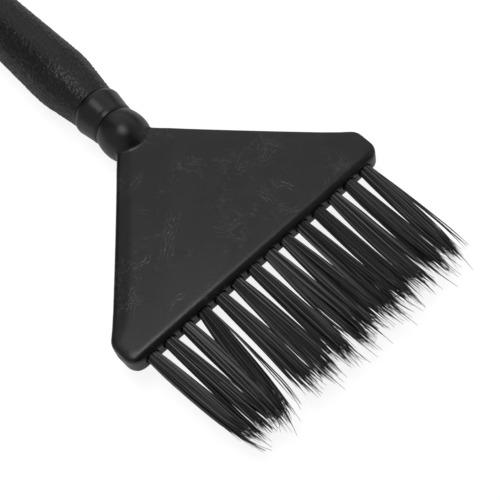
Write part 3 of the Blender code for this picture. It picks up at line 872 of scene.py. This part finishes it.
# ---------------------------------------------------------------- the brush

# Where the melt folded as it filled the mould: x, station, angle in degrees, half length, half width and
# sway in mm, then strength.
FLOW_MARKS = (
    (-9.8, -23.6, 52, 6.6, 1.3, 0.9, 0.85),
    (-10.0, -15.6, 112, 1.5, 0.5, 0.1, 0.45),
    (-17.8, -24.2, 14, 2.9, 0.9, 0.5, 0.9),
    (-22.6, -27.6, 38, 3.8, 0.8, 0.3, 0.5),
    (-25.2, -30.2, 33, 2.6, 1.2, 0.4, 0.9),
    (-18.6, -35.8, 18, 2.9, 0.8, 0.5, 0.85),
    (10.2, -32.6, -62, 4.6, 1.0, 0.6, 0.5),
    (14.6, -32.8, -55, 3.0, 0.8, 0.3, 0.6),
    (11.2, -37.0, -20, 2.6, 0.9, 0.5, 0.5),
    (4.3, -17.2, 84, 2.3, 0.8, 0.3, 0.5),
    (10.8, -18.9, 12, 2.9, 1.0, 0.4, 0.35),
    (19.6, -22.6, -50, 2.4, 0.8, 0.2, 0.5),
    (-6.4, -8.9, 20, 2.4, 0.8, 0.3, 0.45),
    (-9.6, -29.6, 35, 1.6, 0.6, 0.3, 0.5),
    (-1.4, -29.6, 10, 2.2, 1.0, 0.4, 0.25),
    (20.8, -38.0, 60, 1.8, 0.7, 0.3, 0.3),
)

head = make_head()
finish_piece(head, ["head"], moulded("head_plastic", 0.014, 0.32, 0.012 * MM, FLOW_MARKS))
smooth_plastic = moulded("handle_plastic", 0.012, 0.31, 0.004 * MM)
finish_piece(make_collar(), ["collar"], smooth_plastic)
finish_piece(make_core(), ["handle_core"], smooth_plastic)
finish_piece(make_grip(), ["grip"], rubbery())
bristle = nylon()
wire = drawn_wire()
for number, spot in enumerate(hole_places()):
    finish_piece(make_tuft(number, spot), [f"tuft_{number + 1:02d}"], bristle)
    anchor = bpy.data.objects[f"anchor_{number + 1:02d}"]
    for material_slot in anchor.material_slots:
        material_slot.material = wire

# ---------------------------------------------------------------- floor, light and camera

FLOOR_GLOW = 0.86
FLOOR_BOUNCE, FLOOR_LIFT = 0.8, 0.26
KEY_DIRECTION = Vector((-0.03, 0.08, 0.99)).normalized()
KEY_DISTANCE, KEY_SIZE, KEY_POWER = 0.7, 0.34, 0.95
# Soft sources in the surroundings: direction, where its glow starts and is full as a cosine, brightness.
WINDOW = (Vector((0.45, 0.62, 0.64)).normalized(), 0.74, 0.97, 0.62)
BESIDE = (Vector((0.85, -0.3, 0.43)).normalized(), 0.62, 0.97, 0.4)
OPPOSITE = (Vector((-0.9, 0.1, 0.42)).normalized(), 0.45, 0.95, 0.33)
GLOOM = 0.03
BACKDROP = 0.85                   # how bright the surroundings are to the camera itself
FLOOR_REACH = 4.0
CAMERA_TARGET = Vector((0.08 * MM, NECK_Y - 36.77 * MM, AXIS_Z))
CAMERA_AZIMUTH, CAMERA_ELEVATION, CAMERA_ROLL = (math.radians(angle) for angle in (28.474, 61.126, 15.805))
CAMERA_DISTANCE, CAMERA_LENS, CAMERA_SENSOR = 265.79 * MM, 94.176, 36.0


def make_floor():
    """A plain pale floor: white to the camera, and a dimmer diffuse white to the object."""
    size = FLOOR_REACH
    floor = mesh_object("floor", [(-size, -size, 0), (size, -size, 0), (size, size, 0), (-size, size, 0)],
                        [(0, 1, 2, 3)])
    material = bpy.data.materials.new("floor_white")
    material.use_nodes = True
    tree = material.node_tree
    shader = tree.nodes["Principled BSDF"]
    shader.inputs["Base Color"].default_value = (0.5, 0.5, 0.5, 1.0)
    shader.inputs["Roughness"].default_value = 0.9
    shader.inputs["Specular IOR Level"].default_value = 0.0
    shader.inputs["Emission Color"].default_value = (1.0, 1.0, 1.0, 1.0)
    shader.inputs["Emission Strength"].default_value = FLOOR_GLOW
    dim = tree.nodes.new("ShaderNodeBsdfDiffuse")
    dim.inputs["Color"].default_value = (FLOOR_BOUNCE, FLOOR_BOUNCE, FLOOR_BOUNCE, 1.0)
    lift = tree.nodes.new("ShaderNodeEmission")
    lift.inputs["Strength"].default_value = FLOOR_LIFT
    bounce = tree.nodes.new("ShaderNodeAddShader")
    path = tree.nodes.new("ShaderNodeLightPath")
    choose = tree.nodes.new("ShaderNodeMixShader")
    tree.links.new(path.outputs["Is Camera Ray"], choose.inputs[0])
    tree.links.new(dim.outputs[0], bounce.inputs[0])
    tree.links.new(lift.outputs[0], bounce.inputs[1])
    tree.links.new(bounce.outputs[0], choose.inputs[1])
    tree.links.new(shader.outputs[0], choose.inputs[2])
    tree.links.new(choose.outputs[0], tree.nodes["Material Output"].inputs["Surface"])
    floor.data.materials.append(material)


def make_world():
    """Dim surroundings with three soft sources. The camera itself sees one plain pale tone."""
    world = bpy.data.worlds.new("studio")
    bpy.context.scene.world = world
    world.use_nodes = True
    tree = world.node_tree
    tree.nodes.clear()
    place = tree.nodes.new("ShaderNodeTexCoord")
    total = None
    for towards, start, full, brightness in (WINDOW, BESIDE, OPPOSITE):
        facing = tree.nodes.new("ShaderNodeVectorMath")
        facing.operation = "DOT_PRODUCT"
        facing.inputs[1].default_value = towards
        glow = tree.nodes.new("ShaderNodeMapRange")
        glow.interpolation_type = "SMOOTHSTEP"
        glow.inputs["From Min"].default_value = start
        glow.inputs["From Max"].default_value = full
        glow.inputs["To Max"].default_value = brightness
        add = tree.nodes.new("ShaderNodeMath")
        add.inputs[1].default_value = GLOOM
        tree.links.new(place.outputs["Generated"], facing.inputs[0])
        tree.links.new(facing.outputs["Value"], glow.inputs["Value"])
        tree.links.new(glow.outputs[0], add.inputs[0])
        if total is not None:
            tree.links.new(total, add.inputs[1])
        total = add.outputs[0]
    path = tree.nodes.new("ShaderNodeLightPath")
    choose = tree.nodes.new("ShaderNodeMix")
    choose.data_type = "FLOAT"
    choose.inputs[3].default_value = BACKDROP
    background = tree.nodes.new("ShaderNodeBackground")
    output = tree.nodes.new("ShaderNodeOutputWorld")
    tree.links.new(path.outputs["Is Camera Ray"], choose.inputs[0])
    tree.links.new(total, choose.inputs[2])
    tree.links.new(choose.outputs[0], background.inputs["Strength"])
    tree.links.new(background.outputs[0], output.inputs[0])


def make_key():
    """A softbox above, round so that its highlights have no corners."""
    light = bpy.data.lights.new("key", "AREA")
    light.shape = "DISK"
    light.size = KEY_SIZE
    light.energy = KEY_POWER
    lamp = bpy.data.objects.new("key", light)
    bpy.context.scene.collection.objects.link(lamp)
    middle = Vector((0.0, NECK_Y, AXIS_Z))
    lamp.location = middle + KEY_DIRECTION * KEY_DISTANCE
    lamp.rotation_euler = KEY_DIRECTION.to_track_quat("Z", "Y").to_euler()


def make_camera():
    """The camera from above the bristles' left, turned so that the handle runs to the upper left corner."""
    level_part = math.cos(CAMERA_ELEVATION)
    forward = Vector((
        math.sin(CAMERA_AZIMUTH) * level_part, math.cos(CAMERA_AZIMUTH) * level_part,
        -math.sin(CAMERA_ELEVATION)))
    data = bpy.data.cameras.new("camera")
    data.lens = CAMERA_LENS
    data.sensor_width = CAMERA_SENSOR
    data.clip_start = 0.01
    camera = bpy.data.objects.new("camera", data)
    bpy.context.scene.collection.objects.link(camera)
    camera.location = CAMERA_TARGET - forward * CAMERA_DISTANCE
    level = forward.to_track_quat("-Z", "Y").to_matrix()
    camera.rotation_euler = (level @ Matrix.Rotation(-CAMERA_ROLL, 3, "Z")).to_euler()
    bpy.context.scene.camera = camera


make_floor()
make_world()
make_key()
make_camera()
bpy.context.scene.view_settings.view_transform = "Standard"
bpy.context.scene.view_settings.look = "None"
